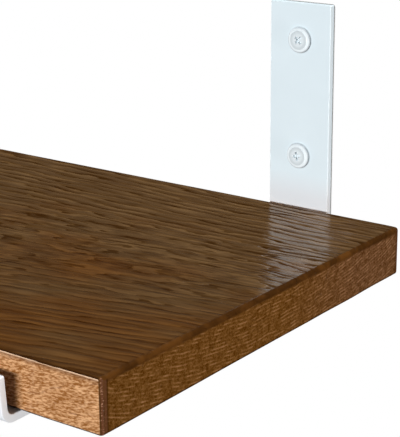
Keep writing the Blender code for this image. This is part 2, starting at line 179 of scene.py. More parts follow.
# Flat-sawn oak, stained walnut brown under a satin lacquer that leaves the pores open: long dark pore
# rows along the board that part round a plain middle, short dashes on the edges and pale curved rings
# on the ends. The lacquer mirrors the white plates, the bare pores break that up, the ends stay matt.
# In its tables, a LINEAR or SMOOTHSTEP row gives a source, where it starts and ends, and its two values.
oakLook = {
    "cuts": {  # dark and light tone of each cut through the log, and how its layers add up
        "flat": {
            "tones": ("351f08", "6c5131"), "base": -0.10,
            "layers": {"fibre": 0.56, "hair": 0.56, "pale": 0.46, "rows": -0.39, "pores": -0.18, "blots": -0.12}},
        "edge": {
            "tones": ("8c582a", "f0be8e"), "base": -0.41,
            "layers": {"fibre": 0.33, "mottle": 0.57, "fleck": 0.92, "rings": -0.14, "flecks": -0.28}},
        "end": {
            "tones": ("462604", "a57b58"), "base": -0.12,
            "layers": {"fibre": 0.40, "streaks": 0.44, "mottle": 0.40, "flecks": -0.18}},
    },
    "colours": {
        "warmTint": "ffe0ae",  # clouds where the stain sank in, most of them towards the front
        "endTint": "fff6b4",  # darker end wood yellower at the front; its greyer back is a painted sheen
        "stain": "321a05",  # stain and painted shade: long arrises, inside the rims
        "stainedEnd": "3c230b",  # arrises of the ends
        "rubbedEnd": "6e451c",  # and patches on them
        "corner": "5c3a26",  # worn stain on the upright corners; painted shade under the upper rims
        "bare": "ab8166",  # spots worn through to the wood
        "rubbed": "e6c3a4",  # upper rims of the long edges: sanded nearly bare, and a painted highlight
    },
    "places": {
        "halfLength": 0.300,
        "backEdge": -0.005,
        "frontEdge": -0.200,
        "pithAcross": -0.095,
        "grainDrift": 0.20,  # the fibres run towards the wall at the front of the board
    },
    "patterns": {  # size of one cell along, across and through the board
        "sway": (0.160, 0.040, 0.040),  # slow bends of the rings
        "ripple": (0.024, 0.006, 0.006),
        "fibre": (0.030, 0.0024, 0.0024),
        "hair": (0.018, 0.0012, 0.0012),
        "dash": (0.026, 0.0040, 0.0040),  # breaks the pore rows into dashes
        "gleam": (0.034, 0.0046, 0.0046),  # and the pale wood beside them
        "groove": (0.016, 0.0022, 0.0022),  # groups of pores; a real pore is 0.3 mm wide, too fine to show
        "blot": (0.016, 0.0090, 0.0090),
        "cloud": (0.060, 0.030, 0.030),
        "zone": (0.050, 0.006, 0.0025),
    },
    "edgePatterns": {
        "fleck": (0.0017, 0.0006, 0.0005),  # single pores, drawn about twice their real width
        "mottle": (0.0080, 0.0018, 0.0019),
    },
    "edgeTilt": -9.0,  # degrees: the fibres of the edges climb a little towards the right end
    "patternDetail": 2.0,
    "patternRoughness": 0.55,
    "rings": {  # pore rows of the broad faces lie far apart, those of the edges and ends are seen square on
        "face": {"rise": 0.020, "width": 0.0041, "taper": 0.05, "sway": 0.012, "ripple": 0.016},
        "edge": {"rise": 0.280, "width": 0.0014, "taper": 0.02, "sway": 0.006, "ripple": 0.0014},
    },
    "fibres": (  # grain coordinates follow the fibres, and run square to the right end
        ("toEnd", "SUBTRACT", "along", "halfLength"),
        ("lean", "LINEAR", "deep", "backEdge", "frontEdge", 0.0, "grainDrift"),
        ("drift", "MULTIPLY", "toEnd", "lean"),
        ("across", "SUBTRACT", "deep", "drift"),
        ("grain", "COMBINE", "along", "across", "high"),
    ),
    "growth": (  # the rings lie round a pith above the board, wildest under it
        ("fromPith", "SUBTRACT", "across", "pithAcross"),
        ("spread", "ABSOLUTE", "fromPith"),
        ("wild", "LINEAR", "spread", 0.012, 0.050, 1.0, 0.40),
        ("crisp", "LINEAR", "fromPith", -0.020, 0.030, 0.65, 1.0),
        ("centred", "SUBTRACT", "ripple", 0.5),
        ("curl", "MULTIPLY", "centred", "wild"),
    ),
    "figure": (  # a pore row opens each year and pale wood ends it; pale streaks on the ends come and go
        ("season", "FRACT", "faceYears"),
        ("swing", "PINGPONG", "edgeYears", 0.5),
        ("warmth", "MULTIPLY_ADD", "deep", -3.0, "cloud"),
        ("spring", "SMOOTHSTEP", "season", 0.0, 0.46, 1.0, 0.0),
        ("onset", "SMOOTHSTEP", "season", 0.88, 1.0, 0.0, 1.0),
        ("late", "SMOOTHSTEP", "season", 0.46, 0.80, 0.0, 1.0),
        ("porous", "SMOOTHSTEP", "season", 0.0, 0.75, 1.0, 0.3),
        ("dashes", "SMOOTHSTEP", "dash", 0.38, 0.60, 0.10, 1.0),
        ("gleams", "SMOOTHSTEP", "gleam", 0.38, 0.60, 0.15, 1.0),
        ("grooves", "SMOOTHSTEP", "groove", 0.50, 0.66, 0.0, 1.0),
        ("flecks", "SMOOTHSTEP", "fleck", 0.62, 0.38, 0.0, 1.0),
        ("blotches", "SMOOTHSTEP", "blot", 0.42, 0.60, 0.0, 1.0),
        ("clouds", "SMOOTHSTEP", "warmth", 0.68, 1.12, 0.0, 1.0),
        ("zones", "SMOOTHSTEP", "zone", 0.40, 0.66, 0.0, 1.0),
        ("spots", "SMOOTHSTEP", "fleck", 0.56, 0.70, 0.0, 1.0),
        ("patchy", "SMOOTHSTEP", "blot", 0.38, 0.68, 0.0, 0.45),
        ("frontward", "SMOOTHSTEP", "deep", -0.03, -0.10, 0.0, 1.0),
        ("rings", "SMOOTHSTEP", "swing", 0.10, 0.30, 1.0, 0.0),
        ("paleRing", "SMOOTHSTEP", "swing", 0.16, 0.48, 0.0, 1.0),
        ("early", "MAXIMUM", "spring", "onset"),
        ("strokes", "MULTIPLY", "early", "dashes"),
        ("rows", "MULTIPLY", "strokes", "crisp"),
        ("paleWood", "MULTIPLY", "late", "gleams"),
        ("pale", "MULTIPLY", "paleWood", "crisp"),
        ("blots", "MULTIPLY", "blotches", "wild"),
        ("pores", "MULTIPLY", "grooves", "porous"),
        ("streaks", "MULTIPLY", "paleRing", "zones"),
        ("rowDips", "MULTIPLY", "early", "crisp"),
        ("hollow", "MAXIMUM", "rowDips", "pores"),
    ),
    "rims": (  # how far a point lies inside the rims of its face, and which way the face looks
        ("offMiddle", "ABSOLUTE", "along"),
        ("fromEnds", "SUBTRACT", "halfLength", "offMiddle"),
        ("fromFront", "SUBTRACT", "deep", "frontEdge"),
        ("fromBack", "SUBTRACT", "backEdge", "deep"),
        ("fromSides", "MINIMUM", "fromFront", "fromBack"),
        ("flatInset", "MINIMUM", "fromEnds", "fromSides"),
        ("fromTop", "MULTIPLY", "high", -1.0),
        ("endward", "ABSOLUTE", "endFacing"),
        ("roomward", "ABSOLUTE", "roomFacing"),
        ("flatStain", "LINEAR", "flatInset", 0.0010, 0.0028, 0.35, 0.0),  # stain and painted shade inside the rims
        ("endBrow", "LINEAR", "fromTop", 0.0017, 0.0026, 0.95, 0.0),
        ("endRim", "LINEAR", "fromSides", 0.0023, 0.0028, 0.8, 0.0),
        ("lineStart", "LINEAR", "fromSides", 0.0022, 0.0027, 0.0, 1.0),
        ("lineEnd", "LINEAR", "fromSides", 0.0028, 0.0034, 0.75, 0.0),
        # pale upper rim: sanded nearly bare, and a painted highlight on the arris
        ("edgeRub", "LINEAR", "fromTop", 0.0010, 0.0014, 0.9, 0.0),
        ("edgeShade", "LINEAR", "fromTop", 0.0014, 0.0029, 0.65, 0.0),
        ("upright", "LINEAR", "roomward", 0.15, 0.40, 0.0, 1.0),
        # the long arrises' rounding takes the darker colour: stain, and painted shade against the light it catches
        ("onRound", "LINEAR", "roomward", 0.40, 0.92, 0.0, 0.95),
        ("onEdge", "LINEAR", "roomward", 0.95, 0.99, 0.0, 1.0),
        ("onArris", "LINEAR", "endward", 0.08, 0.34, 0.0, 0.95),
        ("bandStart", "LINEAR", "endward", 0.35, 0.65, 0.0, 1.0),
        ("bandEnd", "LINEAR", "endward", 0.88, 0.96, 1.0, 0.0),
        ("onEnd", "LINEAR", "endward", 0.93, 0.985, 0.0, 1.0),
        ("band", "MULTIPLY", "bandStart", "bandEnd"),
        ("worn", "MULTIPLY", "band", "upright"),
        ("wornThrough", "MULTIPLY", "worn", "spots"),
        ("endLine", "MULTIPLY", "lineStart", "lineEnd"),
        ("darkWood", "LINEAR", "end", 0.20, 0.80, 1.0, 0.1),
        # the ends' painted sheen lies where this mask fades, towards the back
        ("yellowed", "MULTIPLY", "frontward", "darkWood"),
    ),
    "film": (  # the lacquer bridges neither the open pores nor the end grain
        ("dry", "MAXIMUM", "hollow", "onArris"),
        ("lacquer", "LINEAR", "dry", 0.0, 1.0, 0.70, 0.0),
        ("roughness", "LINEAR", "hollow", 0.0, 1.0, 0.55, 0.85),
        ("height", "MULTIPLY_ADD", "pores", 0.4, "rows"),
    ),
    "staining": (  # colours made in turn: name, blend, mask, and what lies under and over it
        ("brow", "MIX", "patchy", "stainedEnd", "rubbedEnd"),
        ("arris", "MIX", "worn", "brow", "corner"),
        ("arris", "MIX", "wornThrough", "arris", "bare"),
        ("flat", "MULTIPLY", "clouds", "flat", "warmTint"),
        ("flat", "MIX", "flatStain", "flat", "stain"),
        ("edge", "MIX", "edgeShade", "edge", "corner"),
        ("edge", "MIX", "edgeRub", "edge", "rubbed"),
        ("end", "MULTIPLY", "yellowed", "end", "endTint"),
        ("end", "MIX", "endBrow", "end", "brow"),
        ("end", "MIX", "endRim", "end", "corner"),
        ("end", "MIX", "endLine", "end", "stain"),
        ("board", "MIX", "onRound", "flat", "stain"),
        ("board", "MIX", "onEdge", "board", "edge"),
        ("board", "MIX", "onArris", "board", "arris"),
        ("board", "MIX", "onEnd", "board", "end"),
    ),
    "poreDepth": 0.00030,
    "coatRoughness": 0.15,
    "coatIor": 1.5,
}


def makeStainedOak(look):
    material, tree = emptyMaterial("stainedOakSatinLacquer")
    coords = addNode(tree, "ShaderNodeTexCoord").outputs
    layers = dict(look["places"])
    for source, names in (
        ("Object", ("along", "deep", "high")), ("Normal", ("endFacing", "roomFacing")),
    ):
        layers.update(zip(names, addNode(tree, "ShaderNodeSeparateXYZ", {}, {0: coords[source]}).outputs))
    addLayers(tree, layers, look["fibres"])
    for source, tilt, patterns in (
        (layers["grain"], 0.0, look["patterns"]), (coords["Object"], look["edgeTilt"], look["edgePatterns"]),
    ):
        for name, cell in patterns.items():
            stretched = addNode(tree, "ShaderNodeMapping", {"vector_type": "TEXTURE"}, {
                0: source, "Rotation": (0.0, math.radians(tilt), 0.0), "Scale": cell})
            layers[name] = addNode(tree, "ShaderNodeTexNoise", {}, {
                "Vector": stretched, "Scale": 1.0, "Detail": look["patternDetail"],
                "Roughness": look["patternRoughness"]})
    addLayers(tree, layers, look["growth"])
    for name, ring in look["rings"].items():
        addLayers(tree, layers, (
            ("below", "SUBTRACT", "high", ring["rise"]),
            ("spoke", "COMBINE", 0.0, "fromPith", "below"),
            ("radius", "LENGTH", "spoke"),
            ("radius", "MULTIPLY_ADD", "sway", ring["sway"], "radius"),
            ("radius", "MULTIPLY_ADD", "curl", ring["ripple"], "radius"),
            ("radius", "MULTIPLY_ADD", "along", ring["taper"], "radius"),
            (name + "Years", "DIVIDE", "radius", ring["width"]),
        ))
    addLayers(tree, layers, look["figure"])
    colours = {name: toLinear(colour) for name, colour in look["colours"].items()}
    for cut, mix in look["cuts"].items():
        layers[cut] = mix["base"]
        addLayers(tree, layers, [(cut, "MULTIPLY_ADD", name, weight, cut) for name, weight in mix["layers"].items()])
        dark, light = (toLinear(tone) for tone in mix["tones"])
        colours[cut] = addNode(tree, "ShaderNodeMix", {"data_type": "RGBA"}, {0: layers[cut], 6: dark, 7: light})
    addLayers(tree, layers, look["rims"])
    addLayers(tree, layers, look["film"])
    for name, blend, mask, under, over in look["staining"]:
        colours[name] = addNode(tree, "ShaderNodeMix", {"data_type": "RGBA", "blend_type": blend}, {
            0: layers[mask], 6: colours[under], 7: colours[over]})
    relief = addNode(tree, "ShaderNodeBump", {"invert": True}, {
        "Strength": 1.0, "Distance": look["poreDepth"], "Height": layers["height"]})
    shader = addNode(tree, "ShaderNodeBsdfPrincipled", {}, {
        "Base Color": colours["board"], "Roughness": layers["roughness"], "Normal": relief,
        "Specular IOR Level": 0.0, "Coat Weight": layers["lacquer"], "Coat Roughness": look["coatRoughness"],
        "Coat IOR": look["coatIor"], "Coat Normal": relief})
    addNode(tree, "ShaderNodeOutputMaterial", {}, {0: shader})
    return material


# Surfaces with soft clouds and a fine grain, each given as the size of a cell and its detail.
# Powder coat and screw paint: near white with a cool cast, satin, with the faint orange peel of powder
# that flowed out. Painted shade greys the line where a screw head meets its plate, on the rim and round it;
# the crowns are a little greyer, with painted shade at their edge; the plate's foot has a painted warm bounce
# from the oak.
# Zinc plate, tumbled in a barrel: grey metal with faint blue and straw clouds and fine dulling.
# Nylon, injection moulded: matt grey and a little mottled, with the mould's spark-eroded grain.
finishLook = {
    "whitePowderCoat": {
        "colours": ("d9e7ee", "e0eef5"), "cloud": (0.020, 3.0), "cloudRange": (0.0, 1.0), "grain": (0.0016, 1.0),
        "grainDepth": 0.000014, "roughness": (0.34, 0.44), "metallic": 0.0, "ior": 1.5,
        "stains": (  # blend, what it follows, colour, where it is full and where it ends
            # painted shade: a grey ring on the plate round each screw head
            ("MIX", "fromScrew", "b6bec3", 0.0055, 0.0060),
            # painted warm bounce from the oak: the plate is warmer towards its foot
            ("MULTIPLY", "z", "fff5f3", 0.004, 0.015),
        ),
    },
    "whiteScrewPaint": {
        "colours": ("e2ecf1", "eaf4f9"), "cloud": (0.004, 3.0), "cloudRange": (0.0, 1.0), "grain": (0.0009, 1.0),
        "grainDepth": 0.000010, "roughness": (0.28, 0.40), "metallic": 0.0, "ior": 1.5,
        "stains": (
            # painted shade on the rim of each head, where it meets the plate
            ("MIX", "fromScrew", "a8b0b5", 0.0054, 0.0049),
            # painted shade in a ring at the crown's edge; inside it the crown has a slightly greyer tone
            ("MIX", "fromScrew", "cdd7dc", 0.0040, 0.0042),
            ("MIX", "fromScrew", "dde7ec", 0.0024, 0.0034),
        ),
    },
    "zincPlatedSteel": {
        "colours": ("aeb3b8", "c9c7bd"), "cloud": (0.0025, 3.0), "cloudRange": (0.35, 0.65), "grain": (0.0004, 2.0),
        "grainDepth": 0.000006, "roughness": (0.22, 0.42), "metallic": 1.0, "ior": 1.5, "stains": (),
    },
    "mouldedGreyNylon": {
        "colours": ("92969a", "a5a9ac"), "cloud": (0.006, 3.0), "cloudRange": (0.0, 1.0), "grain": (0.0005, 1.0),
        "grainDepth": 0.000015, "roughness": (0.46, 0.62), "metallic": 0.0, "ior": 1.53, "stains": (),
    },
}
grainRange = (0.3, 0.7)  # between these the grain goes from the lower roughness to the higher
screwPlaces = {"offMiddle": 0.248, "midLevel": 0.0482, "halfSpacing": 0.0255}
toScrews = (  # folding the plates onto each other, and then their two levels, leaves one distance to a screw
    ("fromMiddle", "ABSOLUTE", "x"),
    ("besideScrew", "SUBTRACT", "fromMiddle", "offMiddle"),
    ("fromLevel", "SUBTRACT", "z", "midLevel"),
    ("folded", "ABSOLUTE", "fromLevel"),
    ("overScrew", "SUBTRACT", "folded", "halfSpacing"),
    ("flat", "COMBINE", "besideScrew", "overScrew"),
    ("fromScrew", "LENGTH", "flat"),
)


def makeFinish(name, look):
    material, tree = emptyMaterial(name)
    coords = addNode(tree, "ShaderNodeTexCoord").outputs["Object"]
    layers = dict(screwPlaces)
    for layer in ("cloud", "grain"):
        cell, detail = look[layer]
        layers[layer] = addNode(tree, "ShaderNodeTexNoise", {}, {
            "Vector": coords, "Scale": 1 / cell, "Detail": detail})
    addLayers(tree, layers, (
        ("tint", "LINEAR", "cloud", *look["cloudRange"]),
        ("roughness", "LINEAR", "grain", *grainRange, *look["roughness"]),
    ))
    first, last = (toLinear(tone) for tone in look["colours"])
    colour = addNode(tree, "ShaderNodeMix", {"data_type": "RGBA"}, {0: layers["tint"], 6: first, 7: last})
    if look["stains"]:
        layers.update(zip("xyz", addNode(tree, "ShaderNodeSeparateXYZ", {}, {0: coords}).outputs))
        addLayers(tree, layers, toScrews)
    for blend, source, stain, full, none in look["stains"]:
        addLayers(tree, layers, [("share", "LINEAR", source, full, none, 1.0, 0.0)])
        colour = addNode(tree, "ShaderNodeMix", {"data_type": "RGBA", "blend_type": blend}, {
            0: layers["share"], 6: colour, 7: toLinear(stain)})
    relief = addNode(tree, "ShaderNodeBump", {}, {
        "Strength": 1.0, "Distance": look["grainDepth"], "Height": layers["grain"]})
    shader = addNode(tree, "ShaderNodeBsdfPrincipled", {}, {
        "Base Color": colour, "Metallic": look["metallic"], "Roughness": layers["roughness"],
        "Normal": relief, "IOR": look["ior"]})
    addNode(tree, "ShaderNodeOutputMaterial", {}, {0: shader})
    return material


stainedOak = makeStainedOak(oakLook)
powderCoat, screwPaint, zincPlate, greyNylon = (makeFinish(name, look) for name, look in finishLook.items())
print("materials made")


# Oak board: a planed plank whose arrises were eased by hand, so their rounding wavers a little.
boardPiece = {
    "endEasing": 0.0017,
    "longEasing": 0.0010,
    "easingSteps": 6,
    "loopSpacing": 0.006,
    "waver": 0.00016,
    "waverLength": 0.022,
    "waverBias": 0.6,  # the rounding is only ever worn further, never built up
    "flatNormal": 0.995,  # points that look along an axis more nearly than this don't waver
    "pilotHole": 0.0046,
    "pilotExtra": 0.0005,
    "drillLead": 0.001,
    "smoothUpTo": 40,
    "touching": 1e-7,
}


def makeBoard(size, material):
    low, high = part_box("shelf_board")
    bm = bmesh.new()
    bmesh.ops.create_cube(bm, size=1.0)
    for vert in bm.verts:
        vert.co = [high[i] if vert.co[i] > 0 else low[i] for i in range(3)]
    for axis in (0, 1):  # cross loops give the wavering arrises their points
        count = round((high[axis] - low[axis]) / size["loopSpacing"])
        normal = Vector((axis == 0, axis == 1, 0))
        for step in range(1, count):
            at = low + (high - low) * step / count
            bmesh.ops.bisect_plane(bm, geom=[*bm.verts, *bm.edges, *bm.faces], plane_co=at, plane_no=normal)
    weight = bm.edges.layers.float.new("bevel_weight_edge")
    widest = max(size["endEasing"], size["longEasing"])
    near = size["touching"]
    for edge in bm.edges:
        start, end = (vert.co for vert in edge.verts)
        onRims = [i for i in range(3)
                  if abs(start[i] - end[i]) < near and min(start[i] - low[i], high[i] - start[i]) < near]
        if len(onRims) == 2:
            edge[weight] = (size["longEasing"] if onRims == [1, 2] else size["endEasing"]) / widest
    board = addObject("oakBoard", bm)
    eased = board.modifiers.new("eased", "BEVEL")
    eased.limit_method, eased.width, eased.segments = "WEIGHT", widest, size["easingSteps"]
    settle(board)
    bm = bmesh.new()
    bm.from_mesh(board.data)
    bm.normal_update()
    for vert in bm.verts:
        if max(abs(c) for c in vert.normal) < size["flatNormal"]:
            waver = noise.noise(vert.co / size["waverLength"]) - size["waverBias"]
            vert.co += vert.normal * min(waver, 0.0) * size["waver"]
    bm.to_mesh(board.data)
    bm.free()
    holes = []
    for node in (f"board_screw_{side}_{row}" for side in sides for row in rows):
        middle = boxMiddle(node)
        top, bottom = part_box(node)[1].z + size["pilotExtra"], low.z - size["drillLead"]
        holes.append(((middle.x, middle.y, (top + bottom) / 2), (0, 0, 1), size["pilotHole"], top - bottom))
    drillHoles(board, holes)
    smoothUpTo(board, size["smoothUpTo"], keepFlats=True)
    board.data.materials.clear()
    board.data.materials.append(material)
    hangOnWall(board, ["shelf_board"])
    return board


oakBoard = makeBoard(boardPiece, stainedOak)


# Brackets: flat bar swept along its bent path, with corners rounded and edges eased before coating.
bracketPiece = {
    "barThickness": 0.003,
    "bendInside": 0.003,
    "bendSteps": 22,
    "lipTop": -0.0063,
    "lipGap": 0.0051,
    "lipLean": 4.0,
    "cornerRadius": 0.0006,
    "cornerSteps": 7,
    "edgeEasing": 0.0004,
    "edgeSteps": 4,
    "edgeAngle": 50,  # degrees: edges sharper than this are eased
    "endNormal": 0.98,  # the cut ends look up more nearly than this
    "areaSlack": 1e-8,
    "wallHole": 0.006,
    "boardHole": 0.005,
    "drillLength": 0.012,
    "smoothUpTo": 40,
}


def bentBarTree():
    tree, given = geometryTree("bentBar", {"Bend Steps": "Int", "Finish": "Material"}, (
        "Bar Width", "Bar Thickness", "Bend Radius"))
    path = addNode(tree, "GeometryNodeMeshToCurve", {}, {0: given["Geometry"]})
    bent = addNode(tree, "GeometryNodeFilletCurve", {"mode": "POLY"}, {
        "Curve": path, "Count": given["Bend Steps"], "Radius": given["Bend Radius"]})
    section = addNode(tree, "GeometryNodeCurvePrimitiveQuadrilateral", {"mode": "RECTANGLE"}, {
        "Width": given["Bar Width"], "Height": given["Bar Thickness"]})
    bar = addNode(tree, "GeometryNodeCurveToMesh", {}, {
        "Curve": bent, "Profile Curve": section, "Fill Caps": True})
    finishTree(tree, given, bar)
    return tree


def makeBracket(size, side, tree, material):
    node = f"bracket_{side}"
    low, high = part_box(node)
    width, half = high.x - low.x, size["barThickness"] / 2
    middleX = (low.x + high.x) / 2
    plateY, armZ = high.y - half, low.z + half
    lean = math.radians(size["lipLean"])
    bend = size["bendInside"] + half
    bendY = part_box("shelf_board")[0].y - size["lipGap"] + size["bendInside"]
    cornerY = bendY - bend * math.tan((math.pi / 2 - lean) / 2)
    lipY = cornerY - (size["lipTop"] - armZ) * math.tan(lean)
    bm = bmesh.new()
    corners = [(plateY, high.z), (plateY, armZ), (cornerY, armZ), (lipY, size["lipTop"])]
    line = [bm.verts.new((middleX, y, z)) for y, z in corners]
    for start, end in zip(line, line[1:]):
        bm.edges.new((start, end))
    bracket = addObject(f"bentBar_{side}", bm)
    runTree(bracket, tree, {**size, "barWidth": width, "bendRadius": bend, "finish": material})
    faceOutwards(bracket)
    bm = bmesh.new()
    bm.from_mesh(bracket.data)
    endArea = width * size["barThickness"]
    cutEnds = [face for face in bm.faces if face.normal.z > size["endNormal"]
               and abs(face.calc_area() - endArea) < size["areaSlack"]]
    endCorners = [edge for face in cutEnds for edge in face.edges
                  if abs(edge.verts[0].co.x - edge.verts[1].co.x) < weldDistance]
    bmesh.ops.bevel(
        bm, geom=endCorners, offset=size["cornerRadius"], segments=size["cornerSteps"], profile=0.5, affect="EDGES")
    sharpAngle = math.radians(size["edgeAngle"])
    sharp = [edge for edge in bm.edges if edge.is_manifold and edge.calc_face_angle() > sharpAngle]
    bmesh.ops.bevel(
        bm, geom=sharp, offset=size["edgeEasing"], segments=size["edgeSteps"], profile=0.5, affect="EDGES",
        clamp_overlap=True)
    bm.to_mesh(bracket.data)
    bm.free()
    holes = []
    for level in levels:
        place = (middleX, plateY, boxMiddle(f"wall_screw_{side}_{level}").z)
        holes.append((place, (0, 1, 0), size["wallHole"], size["drillLength"]))
    for row in rows:
        place = (middleX, boxMiddle(f"board_screw_{side}_{row}").y, armZ)
        holes.append((place, (0, 0, 1), size["boardHole"], size["drillLength"]))
    drillHoles(bracket, holes)
    smoothUpTo(bracket, size["smoothUpTo"], keepFlats=True)
    hangOnWall(bracket, [node])


barTree = bentBarTree()
for side in sides:
    makeBracket(bracketPiece, side, barTree, powderCoat)


# Screws and plugs are outlines turned round a hub, then set on the seats that their nodes give.
hubRadius = 0.001
facings = {1: math.pi / 2, 2: math.pi}  # by the axis of the seat: head to the room, or downwards


def addOutline(name, points, closed):  # (radius, height) points, laid out as a profile for the hub
    bm = bmesh.new()
    line = [bm.verts.new((radius - hubRadius, -height, 0)) for radius, height in points]
    for start, end in zip(line, line[1:]):
        bm.edges.new((start, end))
    if closed:
        bm.edges.new((line[-1], line[0]))
    return addObject(name, bm)


def addSeats(name, nodes, size):  # points that carry how far each piece was turned
    axis = size["seatAxis"]
    bm = bmesh.new()
    driven = bm.verts.layers.float.new("driven")
    for count, node in enumerate(nodes, 1):
        seat = boxMiddle(node)
        seat[axis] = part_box(node)[0][axis] + size["seatRise"]
        bm.verts.new(seat)[driven] = math.radians(size["turnStep"] * count)
    return addObject(name, bm)


def turnedTree(name, floats):
    tree, given = geometryTree(name, {"Outline": "Object", "Sides": "Int", "Finish": "Material"}, (
        "Hub Radius", "Facing", *floats))
    outline = addNode(tree, "GeometryNodeObjectInfo", {}, {"Object": given["Outline"]})
    line = addNode(tree, "GeometryNodeMeshToCurve", {}, {0: outline.outputs["Geometry"]})
    hub = addNode(tree, "GeometryNodeCurvePrimitiveCircle", {"mode": "RADIUS"}, {
        "Resolution": given["Sides"], "Radius": given["Hub Radius"]})
    return tree, given, addNode(tree, "GeometryNodeCurveToMesh", {}, {"Curve": hub, "Profile Curve": line})


def seatCopies(tree, given, shape):  # one at each seat, each turned to its own angle
    driven = addNode(tree, "GeometryNodeInputNamedAttribute", {"data_type": "FLOAT"}, {"Name": "driven"})
    aim = addNode(tree, "ShaderNodeCombineXYZ", {}, {0: given["Facing"]})
    spin = addNode(tree, "ShaderNodeCombineXYZ", {}, {2: driven})
    seated = addNode(tree, "GeometryNodeInstanceOnPoints", {}, {
        "Points": given["Geometry"], "Instance": shape, "Rotation": aim})
    home = addNode(tree, "GeometryNodeRotateInstances", {}, {0: seated, "Rotation": spin, "Local Space": True})
    finishTree(tree, given, home)


def makeTurned(name, size, points, closed, tree, material, nodes):
    outline = addOutline(name + "_outline", points, closed)
    pieces = addSeats(name, nodes, size)
    runTree(pieces, tree, {
        **size, "outline": outline, "hubRadius": hubRadius, "facing": facings[size["seatAxis"]],
        "finish": material})
    bpy.data.objects.remove(outline)
    faceOutwards(pieces)
    smoothUpTo(pieces, size["smoothUpTo"])
    hangOnWall(pieces, nodes)
    return pieces


# Screws: a low pan head with a flat crown, a rounded shoulder and a driver cross, over a sharp thread.
screwForming = {
    "crownSteps": 6, "crownChamfer": 0.0001, "crownLap": 0.00005, "shoulderSteps": 10, "rimChamfer": 0.0001,
    "rimUndercut": 0.0004, "neckFillet": 0.0003, "threadLead": 0.0004, "threadOverlap": 0.0002,
    "ringsPerTurn": 8, "ridgeShare": 0.22, "recessTaper": 0.55, "turnStep": 34.0, "smoothUpTo": 32,
}
wallScrewPiece = {
    **screwForming, "headDiameter": 0.011, "headHeight": 0.0014, "crownDiameter": 0.0082, "crownDome": 0.00005,
    "crownStep": 0.00025, "rimHeight": 0.0004, "shankDiameter": 0.0042, "rootDiameter": 0.0034,
    "threadDiameter": 0.0050, "threadPitch": 0.0020, "plainShank": 0.006, "length": 0.045, "pointLength": 0.006,
    "sides": 48, "recessSpan": 0.0052, "recessWidth": 0.0014, "recessDepth": 0.0011, "seatAxis": 1,
}
boardScrewPiece = {
    **screwForming, "headDiameter": 0.008, "headHeight": 0.0022, "crownDiameter": 0.0058, "crownDome": 0.00012,
    "crownStep": 0.0001, "rimHeight": 0.0005, "shankDiameter": 0.0034, "rootDiameter": 0.0026,
    "threadDiameter": 0.0040, "threadPitch": 0.0016, "plainShank": 0.0035, "length": 0.016, "pointLength": 0.004,
    "sides": 40, "recessSpan": 0.0042, "recessWidth": 0.0009, "recessDepth": 0.0014, "seatAxis": 2,
}


def screwOutline(size):
    headRadius, crownRadius = size["headDiameter"] / 2, size["crownDiameter"] / 2
    shankRadius, rootRadius = size["shankDiameter"] / 2, size["rootDiameter"] / 2
    top, rim, dome = size["headHeight"], size["rimHeight"], size["crownDome"]
    steps, chamfer, neck = size["crownSteps"], size["crownChamfer"], size["neckFillet"]
    points = [(crownRadius * step / steps, top - dome * (step / steps) ** 2) for step in range(steps)]
    points += [(crownRadius - chamfer, top - dome), (crownRadius, top - dome - chamfer)]
    shoulderTop, inner = top - dome - size["crownStep"], crownRadius + size["crownLap"]
    for step in range(size["shoulderSteps"] + 1):
        angle = math.pi / 2 * step / size["shoulderSteps"]
        points.append((inner + (headRadius - inner) * math.sin(angle), rim + (shoulderTop - rim) * math.cos(angle)))
    points += [
        (headRadius - size["rimChamfer"], rim / 2), (headRadius - size["rimUndercut"], 0.0),
        (shankRadius + neck, 0.0), (shankRadius, -neck), (shankRadius, -size["plainShank"])]
    start, end = -size["plainShank"] - size["threadLead"], size["pointLength"] - size["length"]
    ringSpacing = size["threadPitch"] / size["ringsPerTurn"]
    count = round((start - end) / ringSpacing)
    points += [(rootRadius, start + (end - start) * step / count) for step in range(count + 1)]
    count = round(size["pointLength"] / ringSpacing)
    points += [
        (rootRadius * (1 - step / count), end - size["pointLength"] * step / count) for step in range(1, count + 1)]
    return points


